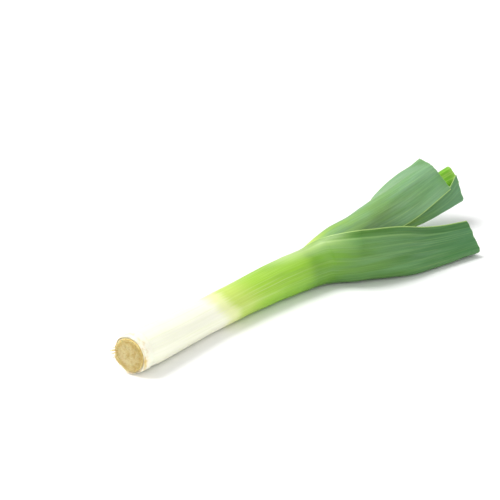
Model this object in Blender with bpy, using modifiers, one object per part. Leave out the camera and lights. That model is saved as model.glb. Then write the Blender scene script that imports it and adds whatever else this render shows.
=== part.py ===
"""A trimmed leek lying on its side: root end toward -X, cut leaf ends toward +X."""
import math

import bmesh
import bpy
from mathutils import Matrix, Vector

MM = 0.001

# Where the middle of the root face sits, measured from the part's own origin (mm).
ORIGIN_X = 229.19
ORIGIN_Y = -45.15

# Root end (mm).
PLATE_RADIUS = 12.6
PLATE_FRONT = -2.6
PLATE_BACK = -0.4
STUB_DISC_RADIUS = 9.6
STUB_DISC_BACK = -2.9
STUB_DISC_FRONT = -3.9
STUB_COUNT = 12
STUB_LENGTH = 2.6
RIM_START = -2.4
RIM_END = 13.0
RIM_THICKNESS = 0.7
RIM_GAP = 0.6
END_HEIGHT = 17.6

# Shaft: x, centre y, centre z, radius, how much taller than wide (mm, last one a ratio).
SHAFT_SIDES = 28
SHAFT_LEAN = 30.0
SHAFT_RINGS = (
    (0.0, 0.0, 17.6, 15.0, 1.00),
    (2.0, 0.0, 17.6, 15.7, 1.00),
    (13.0, 0.0, 17.6, 16.2, 1.00),
    (24.0, 0.0, 17.0, 16.6, 1.00),
    (44.0, 0.0, 16.1, 15.9, 1.00),
    (90.0, 0.0, 15.5, 15.3, 1.00),
    (140.0, -2.6, 16.0, 15.6, 1.03),
    (180.0, -6.6, 17.4, 16.5, 1.09),
    (206.0, -10.7, 18.2, 17.1, 1.13),
    (222.0, -13.8, 18.5, 17.3, 1.15),
)

# Leaf stations from the sheath to the cut end. Each is:
# x, y, z of the keel (mm), way the fold opens (deg), turn of each half (deg), share of the
# half that bends, oval, near half width, far half width (mm), flare of the near edge (deg).
LEAF_THICKNESS = 1.4
LEAF_STEPS = 18
HALF_STEPS = 8
FLARE_WIDTH = 9.0

OUTER = (
    (222.6, -22.0, 0.3, 60, 166, 1.00, 0.18, 53.5, 53.5, 0),
    (241.0, -33.5, 0.1, 50, 120, 1.00, 0.05, 60.0, 49.5, 0),
    (264.0, -52.5, 0.1, 41, 86, 0.85, 0.00, 55.0, 33.0, 0),
    (304.0, -81.0, 0.1, 33, 62, 0.30, 0.00, 47.0, 39.0, 4),
    (346.0, -94.5, 0.9, 31, 60, 0.18, 0.00, 38.5, 39.0, 0),
    (389.0, -107.5, 3.2, 31, 60, 0.15, 0.00, 33.5, 34.0, 0),
)
SECOND = (
    (222.8, -6.3, 32.0, -120, 156, 1.00, 0.16, 37.0, 36.0, 0),
    (262.0, -7.8, 42.0, -113, 124, 1.00, 0.16, 39.0, 24.0, 0),
    (318.0, -13.4, 48.0, -98, 90, 0.60, 0.00, 37.5, 31.5, 0),
    (376.0, -19.0, 56.0, -80, 50, 0.25, 0.00, 37.0, 34.0, 0),
    (436.0, -24.0, 64.5, -73, 34, 0.15, 0.00, 32.0, 29.0, 0),
)
THIRD = (
    (222.9, -17.9, 11.2, 60, 148, 1.00, 0.06, 24.0, 23.0, 0),
    (262.0, -19.6, 17.4, 62, 122, 0.80, 0.06, 23.5, 22.5, 0),
    (320.0, -26.2, 16.2, 68, 84, 0.38, 0.00, 19.3, 25.5, 0),
    (392.0, -39.2, 16.5, 60, 80, 0.22, 0.00, 14.3, 33.0, 0),
    (463.0, -48.0, 22.5, 58, 72, 0.15, 0.00, 18.5, 38.0, 0),
)
HEART = (
    (223.0, -10.9, 22.8, -120, 118, 1.00, 0.00, 11.0, 11.0, 0),
    (262.0, -11.5, 30.0, -117, 102, 0.60, 0.00, 12.2, 11.8, 0),
    (320.0, -15.4, 39.8, -110, 88, 0.30, 0.00, 13.1, 12.9, 0),
    (392.0, -23.2, 48.5, -102, 76, 0.26, 0.00, 14.5, 14.2, 0),
    (461.0, -31.4, 57.5, -96, 60, 0.24, 0.00, 18.5, 15.0, 0),
)


def clear_scene():
    for item in list(bpy.data.objects):
        bpy.data.objects.remove(item, do_unlink=True)


def make_collection(name):
    group = bpy.data.collections.new(name)
    bpy.context.scene.collection.children.link(group)
    return group


def make_material(name, colour, roughness):
    material = bpy.data.materials.new(name)
    material.use_nodes = True
    shader = material.node_tree.nodes["Principled BSDF"]
    shader.inputs["Base Color"].default_value = (*colour, 1.0)
    shader.inputs["Roughness"].default_value = roughness
    return material


def finish(name, bm, material, group, smooth=True):
    """Move the shape into the part's frame, turn it to metres and give it an object."""
    shift = Matrix.Translation((-ORIGIN_X * MM, -ORIGIN_Y * MM, 0.0))
    bm.transform(shift @ Matrix.Scale(MM, 4))
    mesh = bpy.data.meshes.new(name)
    bm.to_mesh(mesh)
    bm.free()
    mesh.materials.append(material)
    if smooth:
        mesh.shade_smooth()
    item = bpy.data.objects.new(name, mesh)
    group.objects.link(item)
    return item


def lathe(profile, sides, z):
    """Turn a profile of (x, radius) points about the shaft's axis into a mesh."""
    bm = bmesh.new()
    points = [bm.verts.new((x, 0.0, radius)) for x, radius in profile]
    edges = [bm.edges.new(pair) for pair in zip(points, points[1:])]
    bmesh.ops.spin(bm, geom=points + edges, cent=(0, 0, 0), axis=(1, 0, 0), dvec=(0, 0, 0),
                   angle=math.tau, steps=sides, use_merge=True)
    bmesh.ops.remove_doubles(bm, verts=bm.verts[:], dist=0.0001)
    bmesh.ops.recalc_face_normals(bm, faces=bm.faces[:])
    bmesh.ops.translate(bm, verts=bm.verts[:], vec=(0.0, 0.0, z))
    return bm


def make_root_plate(material, group):
    """The corky disc at the base, a little domed."""
    profile = [(PLATE_BACK, 0.0), (PLATE_BACK, PLATE_RADIUS), (PLATE_FRONT + 0.9, PLATE_RADIUS),
               (PLATE_FRONT, PLATE_RADIUS - 1.4), (PLATE_FRONT, 0.0)]
    return finish("root_plate", lathe(profile, 24, END_HEIGHT), material, group)


def make_roots(material, group):
    """Trimmed root stubs, standing on one thin disc."""
    profile = [(STUB_DISC_BACK, 0.0), (STUB_DISC_BACK, STUB_DISC_RADIUS),
               (STUB_DISC_FRONT, STUB_DISC_RADIUS), (STUB_DISC_FRONT, STUB_DISC_RADIUS * 0.55),
               (STUB_DISC_FRONT, 0.0)]
    bm = lathe(profile, STUB_COUNT * 2, END_HEIGHT)
    front = [face for face in bm.faces if face.normal.x < -0.9 and len(face.verts) == 4]
    front.sort(key=lambda face: math.atan2(face.calc_center_median().y,
                                           face.calc_center_median().z - END_HEIGHT))
    stubs = front[::2]
    bmesh.ops.inset_individual(bm, faces=stubs, thickness=0.35)
    for number, face in enumerate(stubs):
        length = STUB_LENGTH * (0.6 + 0.4 * math.sin(number * 2.3) ** 2)
        grown = bmesh.ops.extrude_discrete_faces(bm, faces=[face])["faces"][0]
        tip = grown.calc_center_median()
        bmesh.ops.translate(bm, verts=grown.verts[:], vec=(-length, 0.0, 0.0))
        bmesh.ops.scale(bm, verts=grown.verts[:], vec=(1.0, 0.7, 0.7),
                        space=Matrix.Translation(-tip))
    return finish("roots", bm, material, group, smooth=False)


def shaft_radius(x):
    """Radius of the shaft at x, straight between its rings."""
    for before, after in zip(SHAFT_RINGS, SHAFT_RINGS[1:]):
        if x <= after[0]:
            share = max(0.0, (x - before[0]) / (after[0] - before[0]))
            return before[3] + (after[3] - before[3]) * share
    return SHAFT_RINGS[-1][3]


def make_base_sheath(material, group):
    """The dry outermost skin left round the root end, an open sleeve."""
    places = [RIM_START, 0.0, 2.0, 5.5, 9.0, RIM_END]
    profile = [(x, shaft_radius(x) + RIM_GAP) for x in places]
    profile += [(x, shaft_radius(x) + RIM_GAP + RIM_THICKNESS) for x in reversed(places)]
    profile.append(profile[0])
    return finish("base_sheath", lathe(profile, SHAFT_SIDES, END_HEIGHT), material, group)


def make_shaft(material, group):
    """White and green shank of wrapped leaf bases, one solid skin."""
    bm = bmesh.new()
    lean = math.radians(SHAFT_LEAN)
    loops = []
    for x, y, z, radius, tall in SHAFT_RINGS:
        ring = bmesh.ops.create_circle(bm, segments=SHAFT_SIDES, radius=radius)["verts"]
        for vert in ring:
            across = vert.co.x / math.sqrt(tall)
            up = vert.co.y * math.sqrt(tall)
            vert.co = Vector((x, y + across * math.cos(lean) + up * math.sin(lean),
                              z + up * math.cos(lean) - across * math.sin(lean)))
        loops.append(ring)
    for before, after in zip(loops, loops[1:]):
        edges = [edge for edge in bm.edges
                 if all(vert in before for vert in edge.verts)
                 or all(vert in after for vert in edge.verts)]
        bmesh.ops.bridge_loops(bm, edges=edges)
    for ring in (loops[0], loops[-1]):
        bmesh.ops.contextual_create(bm, geom=ring)
    bmesh.ops.recalc_face_normals(bm, faces=bm.faces[:])
    return finish("shaft", bm, material, group)


def along(stations, share):
    """Smooth value of every station column at a share 0..1 of the leaf."""
    count = len(stations) - 1
    spot = min(max(share, 0.0), 1.0) * count
    first = min(int(spot), count - 1)
    f = spot - first
    values = []
    for column in zip(*stations):
        b, c = column[first], column[first + 1]
        a = column[first - 1] if first > 0 else 2 * b - c
        d = column[first + 2] if first + 2 <= count else 2 * c - b
        values.append(0.5 * (2 * b + (c - a) * f + (2 * a - 5 * b + 4 * c - d) * f * f
                             + (3 * b - a - 3 * c + d) * f ** 3))
    return values


def half_section(width, turn, bend, oval, flare):
    """Points of half a leaf's section: sideways and into the fold, from the keel out."""
    points = [(0.0, 0.0)]
    step = width / HALF_STEPS
    for number in range(HALF_STEPS):
        share = (number + 0.5) / HALF_STEPS
        angle = math.radians(turn) * min(1.0, share / bend)
        angle += oval * math.sin(math.tau * share)
        edge = (share * width - (width - FLARE_WIDTH)) / (0.4 * FLARE_WIDTH)
        angle -= math.radians(flare) * min(1.0, max(0.0, edge))
        side, deep = points[-1]
        points.append((side + step * math.cos(angle), deep + step * math.sin(angle)))
    return points


def leaf_row(stations, share, rests, skew):
    """One row of points across the leaf, near edge to far edge."""
    x, y, z, way, turn, bend, oval, near, far, flare = along(stations, share)
    keel = Vector((x, y, z))
    ahead = Vector(along(stations, share + 0.01)[:3]) - Vector(along(stations, share - 0.01)[:3])
    square = min(1.0, share / 0.22)
    ahead = Vector((1, 0, 0)).lerp(ahead.normalized(), square * square).normalized()
    into = Vector((0.0, math.cos(math.radians(way)), math.sin(math.radians(way))))
    into = (into - ahead * into.dot(ahead)).normalized()
    side = ahead.cross(into)
    if side.y > 0:
        side = -side
    late = max(0.0, (share - 0.6) / 0.4) ** 2
    row = []
    for sign, width, slant, curl in ((1, near, skew[0], flare), (-1, far, skew[1], 0)):
        half = [keel + side * (sign * across) + into * deep
                + ahead * (slant * late * number / HALF_STEPS)
                for number, (across, deep) in
                enumerate(half_section(width, turn, bend, oval, curl))]
        row = half[::-1] if sign == 1 else row + half[1:]
    if rests:
        drop = z - min(point.z for point in row)
        row = [point + Vector((0.0, 0.0, drop)) for point in row]
    return row


def make_leaf(name, stations, material, group, rests=False, skew=(0.0, 0.0)):
    """A folded blade: a grid laid over its sections, then thickened toward its inside."""
    bm = bmesh.new()
    across = 2 * HALF_STEPS
    bmesh.ops.create_grid(bm, x_segments=LEAF_STEPS, y_segments=across, size=0.5)
    for vert in list(bm.verts):
        row = leaf_row(stations, vert.co.x + 0.5, rests, skew)
        vert.co = row[round((vert.co.y + 0.5) * across)]
    if math.sin(math.radians(stations[0][3])) > 0:
        bmesh.ops.reverse_faces(bm, faces=bm.faces[:])
    leaf = finish(name, bm, material, group)
    skin = leaf.modifiers.new("thickness", 'SOLIDIFY')
    skin.thickness = LEAF_THICKNESS * MM
    skin.offset = -1.0
    skin.use_even_offset = True
    return leaf


clear_scene()
leek = make_collection("leek")

make_root_plate(make_material("root_cork", (0.62, 0.50, 0.28), 0.85), leek)
make_roots(make_material("root_fibre", (0.78, 0.70, 0.50), 0.80), leek)
make_base_sheath(make_material("dry_skin", (0.86, 0.78, 0.58), 0.60), leek)
make_shaft(make_material("shaft_skin", (0.80, 0.86, 0.62), 0.35), leek)
make_leaf("leaf_1", OUTER, make_material("leaf_outer", (0.13, 0.29, 0.10), 0.45), leek,
          rests=True, skew=(-5.0, 0.0))
make_leaf("leaf_2", SECOND, make_material("leaf_second", (0.25, 0.43, 0.24), 0.45), leek,
          skew=(4.0, 20.0))
make_leaf("leaf_3", THIRD, make_material("leaf_third", (0.12, 0.29, 0.13), 0.45), leek)
make_leaf("leaf_4", HEART, make_material("leaf_heart", (0.42, 0.62, 0.12), 0.45), leek)
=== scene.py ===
# %% [markdown]
# # A trimmed leek, modelled and shaded in Blender
# A leek is a bundle of long leaves. Their lower ends wrap round each other into a pale shank, and
# their blades fold along a keel and fan out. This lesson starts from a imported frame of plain
# solids and dresses each one with a fine surface of its own.

# %% Load the frame
import math

import bmesh
import bpy
from mathutils import Matrix, Vector, noise


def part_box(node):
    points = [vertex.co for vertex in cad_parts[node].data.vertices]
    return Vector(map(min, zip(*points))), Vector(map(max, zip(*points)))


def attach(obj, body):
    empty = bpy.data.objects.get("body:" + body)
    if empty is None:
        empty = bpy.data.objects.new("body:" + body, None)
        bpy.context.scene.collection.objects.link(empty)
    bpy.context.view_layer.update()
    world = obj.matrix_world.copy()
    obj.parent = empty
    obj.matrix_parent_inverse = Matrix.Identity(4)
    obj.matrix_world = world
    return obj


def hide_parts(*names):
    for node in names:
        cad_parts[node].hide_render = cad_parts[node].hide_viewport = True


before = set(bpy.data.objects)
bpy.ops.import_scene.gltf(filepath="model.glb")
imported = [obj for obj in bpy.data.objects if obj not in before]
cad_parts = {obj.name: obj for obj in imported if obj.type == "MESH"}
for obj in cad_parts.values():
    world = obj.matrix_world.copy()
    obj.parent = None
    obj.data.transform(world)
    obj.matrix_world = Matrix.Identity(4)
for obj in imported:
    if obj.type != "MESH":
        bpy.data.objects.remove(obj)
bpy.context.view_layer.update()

print("nodes:", sorted(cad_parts))

# %% [markdown]
# The leek is easiest to think about in millimetres from the middle of its root face, with the
# shank running along X. The root disc of the frame is round, so its box gives that middle point,
# and one small helper takes every point from there into the frame's metres.

# %% Where the root face is
MM = 0.001
shaft_low, shaft_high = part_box("shaft")
plate_low, plate_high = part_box("root_plate")
FACE = Vector((shaft_low[0], (plate_low[1] + plate_high[1]) / 2, 0.0))


def to_frame(point):
    """A point in millimetres from the root face, in the frame's metres."""
    return FACE + point * MM


print("root face at", [round(v, 4) for v in FACE])

# %% [markdown]
# Everything long on a leek changes slowly along its length: the way a leaf folds, how wide it is,
# how much each half curls. So each leaf is described by a few stations, and a smooth curve runs
# through every number of them. The same curve would draw an animation's in-betweens.

# %% A smooth curve through stations
def along(stations, share):
    """Every column of the stations at a share 0..1 of the way, on a smooth curve."""
    count = len(stations) - 1
    spot = min(max(share, 0.0), 1.0) * count
    first = min(int(spot), count - 1)
    f = spot - first
    values = []
    for column in zip(*stations):
        b, c = column[first], column[first + 1]
        a = column[first - 1] if first > 0 else 2 * b - c
        d = column[first + 2] if first + 2 <= count else 2 * c - b
        values.append(0.5 * (2 * b + (c - a) * f + (2 * a - 5 * b + 4 * c - d) * f * f
                             + (3 * b - a - 3 * c + d) * f ** 3))
    return values


def ease(value, low, high):
    """0 below low, 1 above high, with a soft start and stop between."""
    f = min(1.0, max(0.0, (value - low) / (high - low)))
    return f * f * (3.0 - 2.0 * f)


print("half way between 0, 10 and 40:", along(((0,), (10,), (40,)), 0.75))

# %% [markdown]
# Across the leaf, each half starts at the keel and turns toward the inside of the fold. Turned
# right round it meets the other half, which is a closed sheath. Turned a little it is a shallow
# roof. One walk of small steps with a turning heading draws all of these.

# %% Half of a leaf's section
HALF = 52
FLARE_WIDTH = 9.0


def half_section(width, turn, bend, oval, flare):
    """Points of half a section, sideways and into the fold, from the keel to the edge."""
    points = [(0.0, 0.0)]
    step = width / HALF
    for number in range(HALF):
        share = (number + 0.5) / HALF
        angle = math.radians(turn) * min(1.0, share / bend)
        angle += oval * math.sin(math.tau * share)
        edge = (share * width - (width - FLARE_WIDTH)) / (0.4 * FLARE_WIDTH)
        angle -= math.radians(flare) * min(1.0, max(0.0, edge))
        side, deep = points[-1]
        points.append((side + step * math.cos(angle), deep + step * math.sin(angle)))
    return points


print("a closed half of 50 mm is", round(half_section(50, 180, 1, 0, 0)[-1][1], 1), "mm across")

# %% [markdown]
# The shank swells a little at the root, is round while it is white, and grows taller than wide
# where the leaves begin to part. Its sections are closed sheaths, so it uses the same half
# section as the leaves, turned half a circle on each side. That lets the outer leaf run out of it
# without a step.

# %% Rows of the shank
LEAN = 60.0
SEAM = 222.0
# x, centre y, centre z, radius, height over width
SHANK = (
    (0.0, 0.0, 17.6, 15.0, 1.00),
    (2.0, 0.0, 17.6, 15.7, 1.00),
    (13.0, 0.0, 17.6, 16.2, 1.00),
    (24.0, 0.0, 17.0, 16.6, 1.00),
    (44.0, 0.0, 16.1, 15.9, 1.00),
    (90.0, 0.0, 15.5, 15.3, 1.00),
    (140.0, -2.6, 16.0, 15.6, 1.03),
    (180.0, -6.6, 17.4, 16.5, 1.09),
    (206.0, -10.7, 18.2, 17.1, 1.13),
    (222.0, -13.8, 18.5, 17.3, 1.15),
    (238.0, -17.0, 18.6, 17.4, 1.15),
)


def shank_numbers(x):
    """Centre y, centre z, radius and height ratio of the shank at x."""
    for before, after in zip(SHANK, SHANK[1:]):
        if x <= after[0]:
            f = max(0.0, (x - before[0]) / (after[0] - before[0]))
            f = f * 0.5 + ease(f, 0.0, 1.0) * 0.5
            return [b + (a - b) * f for b, a in zip(before[1:], after[1:])]
    return list(SHANK[-1][1:])


def shank_row(x):
    """Points round the shank at x, near edge to keel to far edge, which meet at the top."""
    y, z, radius, tall = shank_numbers(x)
    half = half_section(math.pi * radius, 180.0, 1.0, (tall ** 1.5 - 1.0) / 2.0, 0.0)
    depth = half[-1][1]
    into = Vector((0.0, math.cos(math.radians(LEAN)), math.sin(math.radians(LEAN))))
    side = Vector((1, 0, 0)).cross(into)
    keel = Vector((x, y, z)) - into * (depth / 2.0)
    near = [keel + side * a + into * d for a, d in half]
    far = [keel - side * a + into * d for a, d in half]
    return near[::-1] + far[1:]


print("shank at 100 mm:", [round(v, 2) for v in shank_numbers(100)])

# %% [markdown]
# A blade's row sits square to its keel. At its start it is square to the shank instead, and the
# outer leaf's first rows are mixed with the shank's own, so the skin is one smooth surface. The
# outer leaf also rests on the floor, so each of its rows is set down to a height above it.

# %% Rows of a leaf
def leaf_row(leaf, share):
    """Points across a leaf at a share of its length, near edge to far edge."""
    stations = leaf["stations"]
    x, y, z, way, turn, bend, oval, near, far, flare = along(stations, share)
    keel = Vector((x, y, z))
    ahead = Vector(along(stations, share + 0.01)[:3]) - Vector(along(stations, share - 0.01)[:3])
    square = min(1.0, share / 0.22)
    ahead = Vector((1, 0, 0)).lerp(ahead.normalized(), square * square).normalized()
    into = Vector((0.0, math.cos(math.radians(way)), math.sin(math.radians(way))))
    into = (into - ahead * into.dot(ahead)).normalized()
    side = ahead.cross(into)
    if side.y > 0:
        side = -side
    late = max(0.0, (share - 0.6) / 0.4) ** 2
    row = []
    for sign, width, slant, curl in ((1, near, leaf["slant"][0], flare),
                                     (-1, far, leaf["slant"][1], 0)):
        half = []
        for number, (across, deep) in enumerate(half_section(width, turn, bend, oval, curl)):
            torn = noise.noise(Vector((sign * across * 0.35, leaf["seed"], 3.0))) * 1.1
            push = (slant * number / HALF + torn) * late
            half.append(keel + side * (sign * across) + into * deep + ahead * push)
        row = half[::-1] if sign == 1 else row + half[1:]
    if leaf["rests"]:
        drop = z - min(point.z for point in row)
        row = [point + Vector((0.0, 0.0, drop)) for point in row]
        mix = ease(x, SEAM, SEAM + 40.0)
        if mix < 1.0:
            sheath = shank_row(x)
            row = [a.lerp(b, mix) for a, b in zip(sheath, row)]
    return row


print("the outer leaf leaves the shank from", SEAM, "to", SEAM + 40.0, "mm")

# %% [markdown]
# Here are the four leaves. The outer one bends away and lies on the floor on its keel. The second
# is a roof over the two inner ones, which open upward and downward in turn, as leek leaves
# alternate.

# %% The four leaves in numbers
# x, y, z of the keel, way the fold opens, turn, share that bends, oval, near and far width, flare
OUTER = {"stations": (
    (222.0, -22.0, 0.3, 60, 176, 1.00, 0.12, 54.0, 54.0, 0),
    (241.0, -33.5, 0.1, 50, 120, 1.00, 0.05, 60.0, 49.5, 0),
    (264.0, -52.5, 0.1, 41, 86, 0.85, 0.00, 55.0, 33.0, 0),
    (304.0, -81.0, 0.1, 33, 62, 0.30, 0.00, 47.0, 39.0, 4),
    (346.0, -94.5, 0.9, 31, 60, 0.18, 0.00, 38.5, 39.0, 0),
    (389.0, -107.5, 3.2, 31, 60, 0.15, 0.00, 33.5, 34.0, 0),
), "slant": (-5.0, 0.0), "rests": True, "seed": 1.0}
SECOND = {"stations": (
    (222.8, -6.3, 32.0, -120, 156, 1.00, 0.16, 37.0, 36.0, 0),
    (262.0, -7.8, 42.0, -113, 124, 1.00, 0.16, 39.0, 24.0, 0),
    (318.0, -13.4, 48.0, -98, 90, 0.60, 0.00, 37.5, 31.5, 0),
    (376.0, -19.0, 56.0, -80, 46, 0.25, 0.00, 37.0, 36.0, 0),
    (436.0, -24.0, 64.5, -73, 34, 0.15, 0.00, 32.0, 29.0, 0),
), "slant": (4.0, 20.0), "rests": False, "seed": 2.0}
THIRD = {"stations": (
    (222.9, -17.9, 11.2, 60, 148, 1.00, 0.06, 24.0, 23.0, 0),
    (262.0, -19.6, 17.4, 62, 122, 0.80, 0.06, 23.5, 22.5, 0),
    (320.0, -26.2, 16.2, 68, 84, 0.38, 0.00, 19.3, 25.5, 0),
    (392.0, -39.2, 16.5, 60, 79, 0.22, 0.00, 14.6, 33.0, 0),
    (438.0, -45.0, 20.2, 59, 71, 0.18, 0.00, 19.5, 36.2, 0),
    (463.0, -48.0, 22.5, 58, 68, 0.15, 0.00, 33.5, 38.0, 0),
), "slant": (-7.0, 0.0), "rests": False, "seed": 3.0}
HEART = {"stations": (
    (223.0, -10.9, 22.8, -120, 118, 1.00, 0.00, 11.0, 11.0, 0),
    (262.0, -11.5, 30.0, -117, 102, 0.60, 0.00, 12.2, 11.8, 0),
    (320.0, -15.4, 39.8, -110, 88, 0.30, 0.00, 13.1, 12.9, 0),
    (392.0, -23.2, 48.5, -102, 76, 0.26, 0.00, 14.5, 14.2, 0),
    (461.0, -30.6, 57.5, -96, 60, 0.24, 0.00, 20.5, 15.0, 0),
), "slant": (0.0, 0.0), "rests": False, "seed": 4.0}
print("outer leaf half way:", [round(v, 1) for v in along(OUTER["stations"], 0.5)])

# %% [markdown]
# A sheet is a flat grid laid over its rows. Before it is moved, each corner of each face writes
# where it is on the sheet into UV maps, in centimetres across and along, and as its distance from
# the nearer edge. Veins, pale margins and cut ends are painted from those later, so they follow
# the leaf.

# %% Lay a grid over rows
CM = 0.1  # of a millimetre


def lay_sheet(rows, columns, row_at, wobble=0.0, seed=0.0, start=0.0, ruler=0):
    """A grid laid over the rows of row_at(0..1), with UV maps of where it is on the leaf.

    The map "place" is in centimetres of the row numbered ruler, so its lines follow the columns.
    """
    bm = bmesh.new()
    bmesh.ops.create_grid(bm, x_segments=rows, y_segments=columns, size=0.5)
    laid = [row_at(number / rows) for number in range(rows + 1)]
    place = bm.loops.layers.uv.new("place")
    edges = bm.loops.layers.uv.new("edges")
    keel = columns // 2
    lengths = [start]
    for before, after in zip(laid, laid[1:]):
        lengths.append(lengths[-1] + (after[keel] - before[keel]).length)
    far_steps = [(row[keel + 1] - row[keel]).length for row in laid]
    near_steps = [(row[keel] - row[keel - 1]).length for row in laid]
    for face in bm.faces:
        for loop in face.loops:
            i = round((loop.vert.co.x + 0.5) * rows)
            j = round((loop.vert.co.y + 0.5) * columns)
            across = j - keel
            step = far_steps[i] if across > 0 else near_steps[i]
            loop[place].uv = (across * far_steps[ruler] * CM, lengths[i] * CM)
            loop[edges].uv = ((keel - abs(across)) * step * CM, (lengths[-1] - lengths[i]) * CM)
    for vert in bm.verts:
        i = round((vert.co.x + 0.5) * rows)
        j = round((vert.co.y + 0.5) * columns)
        vert.co = laid[i][j]
    if wobble:
        bm.normal_update()
        moves = [vert.normal * wobble * noise.noise(vert.co * 0.045 + Vector((seed, 0, 0)))
                 for vert in bm.verts]
        for vert, move in zip(bm.verts, moves):
            vert.co += move * ease(vert.co.x, SEAM + 6.0, SEAM + 40.0)
    return bm


print("a sheet has", 2 * HALF, "columns")

# %% [markdown]
# Each finished mesh goes into an object at the origin, with its place in the mesh. The helper
# also takes the frame's solid that the piece stands for, and hides it.

# %% Make a piece
def make_piece(name, bm, node):
    """A named object for a mesh in millimetres from the root face, in place of a frame node."""
    for vert in bm.verts:
        vert.co = to_frame(vert.co)
    mesh = bpy.data.meshes.new(name)
    bm.to_mesh(mesh)
    bm.free()
    mesh.shade_smooth()
    piece = bpy.data.objects.new(name, mesh)
    bpy.context.scene.collection.objects.link(piece)
    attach(piece, "root")
    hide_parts(node)
    print(name, "has", len(mesh.polygons), "faces")
    return piece


# %% [markdown]
# The shank is a sheet rolled shut: its first and last columns meet at the top, and merging them
# closes the tube. At the root the layers of the sheaths show as fine rings round the root disc,
# and at the mouth a floor closes the tube where the inner leaves come out.

# %% The shank
# radius of each ring on the root face, and how far it is set back, in mm
FACE_RINGS = ((14.6, -0.7), (14.3, 0.5), (13.9, -0.6), (13.5, 0.6), (13.1, -0.3), (12.9, 1.2))


def shank_skin():
    """A closed skin from the root face to where the outer leaf opens."""
    rows = 240
    bm = lay_sheet(rows, 2 * HALF, lambda share: shank_row(SEAM * share), ruler=-1)
    bmesh.ops.remove_doubles(bm, verts=bm.verts[:], dist=0.002)
    rims = [edge for edge in bm.edges if edge.is_boundary]
    first = [edge for edge in rims if edge.verts[0].co.x < 1.0]
    last = [edge for edge in rims if edge.verts[0].co.x > SEAM - 1.0]
    for edge in last:
        edge.smooth = False
    centre = Vector((0.0, 0.0, SHANK[0][2]))
    for reach, sink in FACE_RINGS:
        grown = bmesh.ops.extrude_edge_only(bm, edges=first)["geom"]
        first = [item for item in grown if isinstance(item, bmesh.types.BMEdge)]
        for vert in {v for edge in first for v in edge.verts}:
            out = vert.co - centre
            out.x = 0.0
            rough = noise.noise(Vector((out.y * 0.5, out.z * 0.5, reach))) * 0.35
            vert.co = centre + out.normalized() * (reach + rough * 0.4)
            vert.co.x = sink + rough
    bmesh.ops.contextual_create(bm, geom=first)
    bmesh.ops.contextual_create(bm, geom=last)
    bmesh.ops.recalc_face_normals(bm, faces=bm.faces[:])
    return bm


shank = make_piece("shank", shank_skin(), "shaft")

# %% [markdown]
# A leaf is a sheet with a wall. The wall is thick along the keel and thin at the edges, which
# lets light through there, so a vertex group tells Solidify how thick to be. Only the inside
# grows, so the outside stays where the rows put it.

# %% A leaf with a wall
def make_leaf(name, leaf, node, rows, wobble, wall):
    """A leaf's sheet with a wall that thins toward its edges."""
    start = SEAM if leaf["rests"] else 0.0
    bm = lay_sheet(rows, 2 * HALF, lambda share: leaf_row(leaf, share), wobble, leaf["seed"] * 7.0,
                   start)
    if math.sin(math.radians(leaf["stations"][0][3])) > 0:
        bmesh.ops.reverse_faces(bm, faces=bm.faces[:])
    for edge in bm.edges:
        edge.smooth = not edge.is_boundary
    edges = bm.loops.layers.uv["edges"]
    inset = {}
    for face in bm.faces:
        for loop in face.loops:
            inset[loop.vert.index] = loop[edges].uv.x
    piece = make_piece(name, bm, node)
    group = piece.vertex_groups.new(name="wall")
    for index, distance in inset.items():
        group.add([index], ease(distance, -0.05, 1.6), 'REPLACE')
    skin = piece.modifiers.new("wall", 'SOLIDIFY')
    skin.thickness = wall * MM
    skin.offset = -1.0
    skin.use_even_offset = True
    skin.vertex_group = "wall"
    skin.thickness_vertex_group = 0.35
    return piece


outer = make_leaf("outer_leaf", OUTER, "leaf_1", 230, 0.9, 1.3)
second = make_leaf("second_leaf", SECOND, "leaf_2", 230, 0.8, 1.3)
third = make_leaf("third_leaf", THIRD, "leaf_3", 200, 0.5, 1.2)
heart = make_leaf("heart_leaf", HEART, "leaf_4", 160, 0.3, 1.0)

# %% [markdown]
# The root disc is a short corky plug. A sphere with many faces is pressed into a flat lens that
# faces down the shank, and noise raises lumps and sinks pits where roots once grew.

# %% The root disc
DISC_RADIUS = 14.1
DISC_DEPTH = 1.7


def press_to_disc(direction, radius, depth):
    """A point of a unit sphere moved to a lens with a nearly flat face."""
    flat = math.copysign(abs(direction.x) ** 0.45, direction.x)
    return Vector((flat * depth, direction.y * radius, direction.z * radius))


def root_disc():
    """A lumpy corky lens round the axis of the shank."""
    bm = bmesh.new()
    bmesh.ops.create_uvsphere(bm, u_segments=110, v_segments=90, radius=1.0,
                              matrix=Matrix.Rotation(math.pi / 2, 4, 'Y'))
    for vert in bm.verts:
        point = press_to_disc(vert.co.normalized(), DISC_RADIUS, DISC_DEPTH)
        lumps = noise.noise(point * 0.55) * 0.5 + noise.noise(point * 1.5) * 0.28
        pits = max(0.0, noise.noise(point * 0.9 + Vector((9, 0, 0))) - 0.25) * 1.6
        if point.x < 0:
            point.x -= lumps - pits
        vert.co = point + Vector((-0.7, 0.0, SHANK[0][2]))
    bmesh.ops.recalc_face_normals(bm, faces=bm.faces[:])
    return bm


disc = make_piece("root_disc", root_disc(), "root_plate")

# %% [markdown]
# Trimmed roots leave hundreds of short straws. Each is a cone of eight sides whose end is inset
# and pushed in, as a cut straw is. They stand in a sunflower spiral, short in the middle and
# longer in tufts at the rim, where the knife misses them.

# %% The root stubs
STRAWS = 300
STRAW_REACH = 13.2
GOLDEN = math.radians(137.508)


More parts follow.
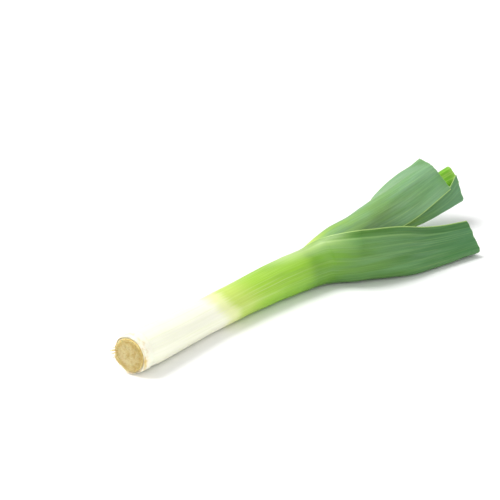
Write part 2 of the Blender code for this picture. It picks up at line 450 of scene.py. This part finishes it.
def add_straw(bm, base, lean, radius, length):
    """One cut root, standing at base and pointing along lean."""
    turn = lean.to_track_quat('Z', 'Y').to_matrix().to_4x4()
    place = Matrix.Translation(base + lean * (length / 2)) @ turn
    made = bmesh.ops.create_cone(bm, cap_ends=True, segments=8, radius1=radius * 1.15,
                                 radius2=radius * 0.8, depth=length, matrix=place)
    tip = max((face for vert in made["verts"] for face in vert.link_faces if len(face.verts) == 8),
              key=lambda face: face.calc_center_median().dot(lean))
    bmesh.ops.inset_region(bm, faces=[tip], thickness=radius * 0.3)
    bmesh.ops.translate(bm, verts=tip.verts[:], vec=-lean * min(length * 0.3, radius * 0.7))


def root_straws():
    """Every cut root on the disc, in a sunflower spiral."""
    bm = bmesh.new()
    for number in range(STRAWS):
        reach = STRAW_REACH * math.sqrt((number + 0.5) / STRAWS)
        angle = number * GOLDEN
        tuft = noise.noise(Vector((math.cos(angle) * 1.6, math.sin(angle) * 1.6, 4.0)))
        rim = ease(reach, 10.2, STRAW_REACH)
        length = 0.9 + 0.5 * noise.noise(Vector((reach, angle, 1.0))) + rim * max(0.0, tuft) * 6.0
        out = Vector((0.0, math.cos(angle), math.sin(angle)))
        base = Vector((-1.9, 0.0, SHANK[0][2])) + out * reach
        bend = 0.15 + rim * 0.75
        wild = Vector((0.0, noise.noise(out * 5.0), noise.noise(out * 7.0))) * 0.3
        lean = (Vector((-1.0, 0.0, 0.0)) + out * bend + wild).normalized()
        add_straw(bm, base, lean, 0.42 + 0.12 * noise.noise(base * 3.0), max(0.7, length) + 0.8)
    return bm


straws = make_piece("root_straws", root_straws(), "roots")

# %% [markdown]
# The outermost skin has dried and torn at the base. It is a sheet rolled round the shank just
# above its surface. Its front rim stands proud of the root face and curls, and its back edge is
# torn.

# %% The torn skin at the base
def torn_skin():
    """A thin sleeve with uneven rims, a little off the shank."""
    rows, columns = 22, 180

    def row_at(share):
        row = []
        for number in range(columns + 1):
            angle = math.tau * number / columns
            wave = Vector((math.cos(angle) * 1.4, math.sin(angle) * 1.4, 0.5))
            start = -1.3 + 1.1 * noise.noise(wave * 1.3) + 0.6 * noise.noise(wave * 4.0)
            end = 10.0 + 3.0 * noise.noise(wave * 0.8 + Vector((0, 0, 6))) + noise.noise(wave * 5.0)
            x = start + (end - start) * share
            _, z, radius, _ = shank_numbers(max(0.0, x))
            curl = 0.9 * ease(-x, -0.6, 2.4) * (0.4 + noise.noise(wave * 2.0))
            crumple = abs(noise.noise(wave * 3.0 + Vector((x * 0.2, 0, 0))))
            off = radius + 0.22 + curl + 0.25 * crumple
            row.append(Vector((x, math.cos(angle) * off, z + math.sin(angle) * off)))
        return row

    bm = lay_sheet(rows, columns, row_at)
    bmesh.ops.remove_doubles(bm, verts=bm.verts[:], dist=0.002)
    bmesh.ops.recalc_face_normals(bm, faces=bm.faces[:])
    return bm


skin = make_piece("torn_skin", torn_skin(), "base_sheath")
wall = skin.modifiers.new("wall", 'SOLIDIFY')
wall.thickness = 0.3 * MM
wall.offset = 1.0
wall.use_even_offset = True

# %% [markdown]
# Now the finishes. Paint colours are usually picked as they look on a screen, but a shader wants
# the amount of light, so one helper converts them. Another adds a node and fills its fields in
# one line.

# %% Small tools for materials
def paint(red, green, blue):
    """A screen colour, 0..255, as the linear colour that shaders use."""
    def linear(value):
        value /= 255.0
        return value / 12.92 if value <= 0.04045 else ((value + 0.055) / 1.055) ** 2.4
    return (linear(red), linear(green), linear(blue), 1.0)


def add(tree, kind, fields=None, **settings):
    """A new node with its settings and its unlinked fields filled in."""
    node = tree.nodes.new(kind)
    for key, value in settings.items():
        setattr(node, key, value)
    for key, value in (fields or {}).items():
        if isinstance(value, bpy.types.NodeSocket):
            tree.links.new(value, node.inputs[key])
        else:
            node.inputs[key].default_value = value
    return node


def maths(tree, operation, first, second):
    """The answer of one Math node."""
    return add(tree, "ShaderNodeMath", {0: first, 1: second}, operation=operation).outputs[0]


def times(tree, first, second):
    """The product of two values."""
    return maths(tree, 'MULTIPLY', first, second)


def plus(tree, first, second):
    """The sum of two values."""
    return maths(tree, 'ADD', first, second)


def blend(tree, factor, first, second, how='MIX'):
    """The colour of one Mix node."""
    node = add(tree, "ShaderNodeMix", data_type='RGBA', blend_type=how, clamp_factor=True)
    for index, value in ((0, factor), (6, first), (7, second)):
        if isinstance(value, bpy.types.NodeSocket):
            tree.links.new(value, node.inputs[index])
        else:
            node.inputs[index].default_value = value
    return node.outputs[2]


def span(tree, value, low, high, to_low=0.0, to_high=1.0):
    """A value mapped from one range to another, clamped, with soft ends."""
    node = add(tree, "ShaderNodeMapRange", {"Value": value, "From Min": low, "From Max": high,
                                            "To Min": to_low, "To Max": to_high},
               interpolation_type='SMOOTHSTEP', clamp=True)
    return node.outputs["Result"]


print("a leaf green is", [round(v, 3) for v in paint(90, 145, 85)])

# %% [markdown]
# Leek skin is one family of finishes: a colour that runs from white through yellow green to blue
# green along the plant, fine ribs that run with the leaf, a waxy bloom in soft streaks, pale thin
# edges and a paler cut. The ribs are noise stretched along the sheet's own UV map.

# %% The skin of the leek
LENGTH = 480.0
SLOPE = 1.2
# strength of the painted shade and highlight along the crease
CREASE_SHADING = 0.9
GLOW = 0.1


def streaks(tree, across, length, fine, long, seed, detail=2.0):
    """Noise in long streaks: fine across the leaf (per cm) and stretched along it."""
    place = add(tree, "ShaderNodeCombineXYZ", {"X": times(tree, across, fine),
                                               "Y": times(tree, length, long),
                                               "Z": seed})
    made = add(tree, "ShaderNodeTexNoise", {"Vector": place.outputs[0], "Scale": 1.0,
                                            "Detail": detail, "Roughness": 0.55})
    return made.outputs["Fac"]


def leek_skin(name, stops, bloom, pale, cut, seed, rough=0.4, bloom_share=0.5, rib=1.0,
              margins=True, young=None):
    """A leek finish whose colour follows stops of (mm from the root, colour).

    A colour for young veins marks a finish of the sheath, with a painted highlight on its
    shoulder, painted shade underneath and in a crease, and colour borders slanting with height.
    """
    material = bpy.data.materials.new(name)
    material.use_nodes = True
    tree = material.node_tree
    shader = tree.nodes["Principled BSDF"]
    object_place = add(tree, "ShaderNodeTexCoord").outputs["Object"]
    spot = add(tree, "ShaderNodeSeparateXYZ", {0: object_place}).outputs
    place = add(tree, "ShaderNodeSeparateXYZ",
                {0: add(tree, "ShaderNodeUVMap", uv_map="place").outputs[0]}).outputs
    edges = add(tree, "ShaderNodeSeparateXYZ",
                {0: add(tree, "ShaderNodeUVMap", uv_map="edges").outputs[0]}).outputs
    across, length = place["X"], place["Y"]
    broad = streaks(tree, across, length, 1.1, 0.12, seed, 3.0)
    fine = streaks(tree, across, length, 6.0, 0.20, seed + 5.0)
    ribs = streaks(tree, across, length, 13.0, 0.10, seed + 9.0, 1.0)
    veins = streaks(tree, across, length, 3.6, 0.05, seed + 14.0, 1.0)
    cells = add(tree, "ShaderNodeTexNoise",
                {"Vector": object_place, "Scale": 1100.0, "Detail": 2.0}).outputs["Fac"]

    # how far along the leek, 0..1 of LENGTH, with uneven borders between the colours
    x = maths(tree, 'DIVIDE', maths(tree, 'SUBTRACT', spot["X"], FACE.x), LENGTH * MM)
    x = plus(tree, x, times(tree, maths(tree, 'SUBTRACT', fine, 0.5), 0.025))
    x = plus(tree, x, times(tree, maths(tree, 'SUBTRACT', broad, 0.5), 0.035))
    # with young veins the borders slant with height: the leek's own colour along the white shank;
    # past the collar the slant turns back, a painted highlight on top and painted shade below
    if young:
        tilt = span(tree, spot["X"], FACE.x + 150.0 * MM, FACE.x + 230.0 * MM,
                    SLOPE, -0.25 * SLOPE)
        x = plus(tree, x, times(tree, spot["Z"], tilt))

    def stretch(low, high, start=0.0, end=1.0):
        """A mask between two distances from the root, in mm."""
        return span(tree, x, low / LENGTH, high / LENGTH, start, end)

    def inset(low, high, start=0.0, end=1.0):
        """A mask between two distances from the margin, in cm."""
        return span(tree, edges["X"], low, high, start, end)

    ramp = add(tree, "ShaderNodeValToRGB", {"Fac": x})
    ramp.color_ramp.interpolation = 'EASE'
    while len(ramp.color_ramp.elements) < len(stops):
        ramp.color_ramp.elements.new(0.5)
    for element, (distance, stop) in zip(ramp.color_ramp.elements, stops):
        element.position = distance / LENGTH
        element.color = stop

    # waxy bloom, pale veins and darker furrows
    colour = ramp.outputs["Color"]
    green = stretch(150.0, 260.0)
    if young:
        pale = blend(tree, green, young, pale)
    waxy = times(tree, span(tree, broad, 0.40, 0.66), bloom_share)
    colour = blend(tree, times(tree, waxy, green), colour, bloom)
    thin = times(tree, span(tree, ribs, 0.52, 0.70), 0.26 * rib)
    thick = times(tree, span(tree, veins, 0.56, 0.66), 0.18 * rib)
    colour = blend(tree, plus(tree, thin, thick), colour, pale)
    shade = span(tree, fine, 0.3, 0.7, 1.0 - 0.13 * rib, 1.0 + 0.06 * rib)
    grey = add(tree, "ShaderNodeCombineXYZ", {"X": shade, "Y": shade, "Z": shade}).outputs[0]
    depth = plus(tree, 0.35, times(tree, green, 0.65))
    colour = blend(tree, depth, colour, grey, 'MULTIPLY')

    if young:
        # a painted highlight on the shoulder where the outer leaf opens, and painted shade, a
        # deeper green, underneath
        shoulder_highlight = times(tree, inset(0.4, 2.2, 0.60, 0.0), stretch(186.0, 210.0))
        shoulder_highlight = times(tree, shoulder_highlight, stretch(222.0, 252.0, 1.0, 0.0))
        colour = blend(tree, shoulder_highlight, colour, SHOULDER_HIGHLIGHT)
        under_shade = times(tree, span(tree, spot["Z"], 0.004, 0.022, 0.9, 0.0), stretch(118.0, 150.0))
        colour = blend(tree, under_shade, colour, UNDERSIDE_SHADE, 'MULTIPLY')
        # painted light along a crease by the near margin: a strip of painted shade with a painted
        # highlight line beside it
        near = times(tree, span(tree, across, -0.4, 0.0, 1.0, 0.0), CREASE_SHADING)
        near = times(tree, near, stretch(204.0, 238.0))
        crease_shade = times(tree, inset(0.62, 0.80, 1.0, 0.0), near)
        colour = blend(tree, crease_shade, colour, blend(tree, 1.0, colour, CREASE_SHADE, 'MULTIPLY'))
        crease_highlight = times(tree, times(tree, inset(0.66, 0.80), inset(0.80, 0.96, 1.0, 0.0)), near)
        crease_highlight = times(tree, crease_highlight, stretch(280.0, 345.0, 1.0, 0.0))
        colour = blend(tree, times(tree, crease_highlight, 0.45), colour, pale)
    if margins:
        edge = times(tree, inset(0.03, 0.13, 0.85, 0.0),
                     span(tree, spot["X"], FACE.x + (SEAM + 2.0) * MM,
                          FACE.x + (SEAM + 10.0) * MM))
        colour = blend(tree, edge, colour, MARGIN)
        colour = blend(tree, span(tree, edges["Y"], 0.0, 0.05, 0.8, 0.0), colour, cut)
    tree.links.new(colour, shader.inputs["Base Color"])

    tree.links.new(span(tree, broad, 0.3, 0.7, rough - 0.06, rough + 0.14),
                   shader.inputs["Roughness"])
    height = plus(tree, ribs, times(tree, cells, 0.10))
    height = plus(tree, height, times(tree, fine, 0.6))
    height = plus(tree, height, times(tree, veins, 0.8))
    bump = add(tree, "ShaderNodeBump", {"Height": height, "Strength": 0.45 * rib,
                                        "Distance": 0.0003})
    tree.links.new(bump.outputs[0], shader.inputs["Normal"])
    shader.inputs["Subsurface Weight"].default_value = GLOW
    shader.inputs["Subsurface Radius"].default_value = (0.9, 1.0, 0.4)
    shader.inputs["Subsurface Scale"].default_value = 0.002
    shader.inputs["Specular IOR Level"].default_value = 0.35
    print(name, "is ready with", len(tree.nodes), "nodes")
    return material


WHITE = paint(246, 246, 226)
CREAM = paint(241, 234, 204)
LIME = paint(194, 217, 100)
GRASS = paint(148, 196, 54)
LEAF = paint(112, 160, 44)
DEEP = paint(86, 132, 48)
BLUE = paint(78, 127, 72)
CUT = paint(166, 200, 126)
MARGIN = paint(174, 208, 122)
# painted highlight on the shoulder where the outer leaf opens
SHOULDER_HIGHLIGHT = paint(206, 228, 158)
# painted shade on the underside of the sheath, near the floor
UNDERSIDE_SHADE = (0.80, 0.92, 0.66, 1.0)
# painted shade in the crease by the near margin
CREASE_SHADE = (0.66, 0.76, 0.56, 1.0)
SHEATH = ((0.0, paint(216, 196, 136)), (5.0, CREAM), (20.0, WHITE), (106.0, WHITE),
          (122.0, paint(230, 236, 172)), (137.0, LIME), (175.0, paint(160, 204, 62)),
          (204.0, GRASS), (226.0, LEAF), (251.0, DEEP), (322.0, BLUE),
          (400.0, paint(74, 127, 79)))
SHEATH_BLOOM = paint(110, 152, 106)
SHEATH_PALE = paint(148, 186, 108)
YOUNG_PALE = paint(226, 236, 176)

shank_finish = leek_skin("shank_skin", SHEATH, SHEATH_BLOOM, SHEATH_PALE, CREAM, 2.0,
                         bloom_share=0.42, rib=0.8, margins=False, young=YOUNG_PALE)
outer_finish = leek_skin("outer_skin", SHEATH, SHEATH_BLOOM, SHEATH_PALE, CUT, 2.0,
                         bloom_share=0.42, rib=0.8, young=YOUNG_PALE)
second_finish = leek_skin(
    "second_skin",
    ((0.0, LIME), (230.0, LIME), (270.0, paint(142, 186, 84)), (320.0, paint(126, 170, 94)),
     (390.0, paint(116, 163, 104)), (425.0, paint(112, 161, 108)), (445.0, paint(94, 148, 80)),
     (480.0, DEEP)),
    paint(134, 176, 132), paint(162, 200, 122), CUT, 12.0, rough=0.42, bloom_share=0.7)
third_finish = leek_skin(
    "third_skin",
    ((0.0, LIME), (250.0, GRASS), (300.0, paint(104, 160, 56)), (370.0, LEAF),
     (410.0, paint(86, 138, 70)), (435.0, paint(88, 138, 84)), (480.0, paint(92, 146, 98))),
    paint(104, 154, 116), paint(146, 194, 108), CUT, 22.0, bloom_share=0.4)
heart_finish = leek_skin(
    "heart_skin",
    ((0.0, LIME), (250.0, LIME), (330.0, paint(170, 212, 70)), (400.0, paint(150, 204, 50)),
     (430.0, paint(122, 192, 30)), (452.0, paint(110, 184, 24)), (464.0, paint(150, 200, 80)),
     (480.0, paint(160, 205, 90))),
    paint(170, 210, 90), paint(190, 224, 110), CUT, 32.0, bloom_share=0.3)
for piece, finish in ((shank, shank_finish), (outer, outer_finish), (second, second_finish),
                      (third, third_finish), (heart, heart_finish)):
    piece.data.materials.append(finish)

# %% [markdown]
# The root end is dry: tan cork with darker pits, paler cut straws with golden rims, and a papery
# skin that goes from golden brown at its torn rim to nearly white where it meets the shank.

# %% The finishes of the root end
def root_finish(name, light, dark, scale, low, high, rough, bump_height, rim=None):
    """A dry finish mottled by noise at a scale per metre, and a colour toward the disc's rim."""
    material = bpy.data.materials.new(name)
    material.use_nodes = True
    tree = material.node_tree
    shader = tree.nodes["Principled BSDF"]
    spot = add(tree, "ShaderNodeTexCoord").outputs["Object"]
    big = add(tree, "ShaderNodeTexNoise", {"Vector": spot, "Scale": scale, "Detail": 5.0,
                                           "Roughness": 0.6}).outputs["Fac"]
    small = add(tree, "ShaderNodeTexNoise", {"Vector": spot, "Scale": scale * 5.0,
                                             "Detail": 3.0}).outputs["Fac"]
    mixed = plus(tree, times(tree, big, 0.65), times(tree, small, 0.35))
    colour = blend(tree, span(tree, mixed, low, high), dark, light)
    if rim:
        middle = (FACE.x, FACE.y, SHANK[0][2] * MM)
        away = add(tree, "ShaderNodeVectorMath", {0: spot, 1: middle}, operation='DISTANCE')
        gold = span(tree, away.outputs["Value"], 0.007, 0.0135, 0.0, 0.55)
        colour = blend(tree, gold, colour, rim)
    tree.links.new(colour, shader.inputs["Base Color"])
    tree.links.new(span(tree, small, 0.3, 0.7, rough - 0.1, rough + 0.1),
                   shader.inputs["Roughness"])
    bump = add(tree, "ShaderNodeBump", {"Height": mixed, "Strength": 0.7, "Distance": bump_height})
    tree.links.new(bump.outputs[0], shader.inputs["Normal"])
    shader.inputs["Subsurface Weight"].default_value = 0.1
    shader.inputs["Subsurface Scale"].default_value = 0.001
    return material


cork_finish = root_finish("root_cork", paint(224, 210, 156), paint(186, 154, 84), 420.0,
                          0.36, 0.56, 0.8, 0.0006, paint(202, 178, 98))
straw_finish = root_finish("root_straw", paint(236, 226, 180), paint(206, 180, 108), 300.0,
                           0.38, 0.58, 0.7, 0.0002, paint(220, 200, 124))
disc.data.materials.append(cork_finish)
straws.data.materials.append(straw_finish)


def dry_skin():
    """Papery skin, golden at its torn front rim and nearly white toward the shank."""
    material = root_finish("dry_skin", paint(246, 240, 218), paint(226, 206, 158), 260.0,
                           0.34, 0.52, 0.55, 0.0002)
    tree = material.node_tree
    shader = tree.nodes["Principled BSDF"]
    base = shader.inputs["Base Color"].links[0].from_socket
    object_place = add(tree, "ShaderNodeTexCoord").outputs["Object"]
    spot = add(tree, "ShaderNodeSeparateXYZ", {0: object_place}).outputs
    x = maths(tree, 'DIVIDE', maths(tree, 'SUBTRACT', spot["X"], FACE.x), MM)
    colour = blend(tree, span(tree, x, 1.0, 8.0, 0.0, 0.85), base, WHITE)
    colour = blend(tree, span(tree, x, -3.4, -0.8, 0.75, 0.0), colour, paint(214, 182, 100))
    stain = add(tree, "ShaderNodeTexNoise", {"Vector": object_place, "Scale": 95.0,
                                             "Detail": 3.0}).outputs["Fac"]
    stain = times(tree, span(tree, stain, 0.50, 0.62, 0.0, 0.8),
                  span(tree, x, 0.0, 5.0, 1.0, 0.0))
    colour = blend(tree, stain, colour, paint(210, 178, 84))
    tree.links.new(colour, shader.inputs["Base Color"])
    return material


skin.data.materials.append(dry_skin())
print("the root end has", [piece.data.materials[0].name for piece in (disc, straws, skin)])

# %% [markdown]
# The stage is a white table top with no edge in sight. Light comes from a bright sky all round, a
# weak soft panel on the near side, and a wide soft sun high at the back left. A sun lights a
# table evenly as far as one can see, so the white never turns grey. The camera looks along the
# leek from its root end.

# %% Table, light and camera
bm = bmesh.new()
bmesh.ops.create_grid(bm, x_segments=2, y_segments=2, size=3.0)
table_mesh = bpy.data.meshes.new("table")
bm.to_mesh(table_mesh)
bm.free()
table = bpy.data.objects.new("table", table_mesh)
bpy.context.scene.collection.objects.link(table)
table_finish = bpy.data.materials.new("white_table")
table_finish.use_nodes = True
shader = table_finish.node_tree.nodes["Principled BSDF"]
shader.inputs["Base Color"].default_value = (0.97, 0.97, 0.97, 1.0)
shader.inputs["Roughness"].default_value = 0.7
table.data.materials.append(table_finish)

world = bpy.data.worlds.new("studio")
world.use_nodes = True
sky = world.node_tree.nodes["Background"]
sky.inputs["Color"].default_value = (1.0, 1.0, 1.0, 1.0)
sky.inputs["Strength"].default_value = 0.62
bpy.context.scene.world = world
bpy.context.scene.view_settings.view_transform = 'Standard'


MIDDLE = (230.0, 0.0, 20.0)


def aim(thing, place, target):
    """Put a lamp or a camera at place, looking at target, both in mm from the root face."""
    thing.location = to_frame(Vector(place))
    thing.rotation_euler = (Vector(target) - Vector(place)).to_track_quat('-Z', 'Y').to_euler()


def soft_light(name, kind, place, power):
    """A lamp of one kind aimed at the middle of the leek."""
    lamp = bpy.data.lights.new(name, kind)
    lamp.energy = power
    stand = bpy.data.objects.new(name, lamp)
    bpy.context.scene.collection.objects.link(stand)
    aim(stand, place, MIDDLE)
    return lamp


soft_light("key_sun", 'SUN', (-350.0, 700.0, 1300.0), 2.45).angle = math.radians(32.0)
soft_light("fill_panel", 'AREA', (-700.0, -900.0, 800.0), 5.5).size = 1.2

AZIMUTH, ELEVATION, DISTANCE = math.radians(-53.5), math.radians(22.0), 1300.0
back = Vector((math.sin(AZIMUTH) * math.cos(ELEVATION), -math.cos(AZIMUTH) * math.cos(ELEVATION),
               math.sin(ELEVATION)))
target = Vector((240.8, 59.6, 15.0))
lens = bpy.data.cameras.new("camera")
lens.sensor_width = 36.0
lens.lens = 98.1
camera = bpy.data.objects.new("camera", lens)
bpy.context.scene.collection.objects.link(camera)
aim(camera, target + back * DISTANCE, target)
bpy.context.scene.camera = camera
print("camera at", [round(v, 3) for v in camera.location])
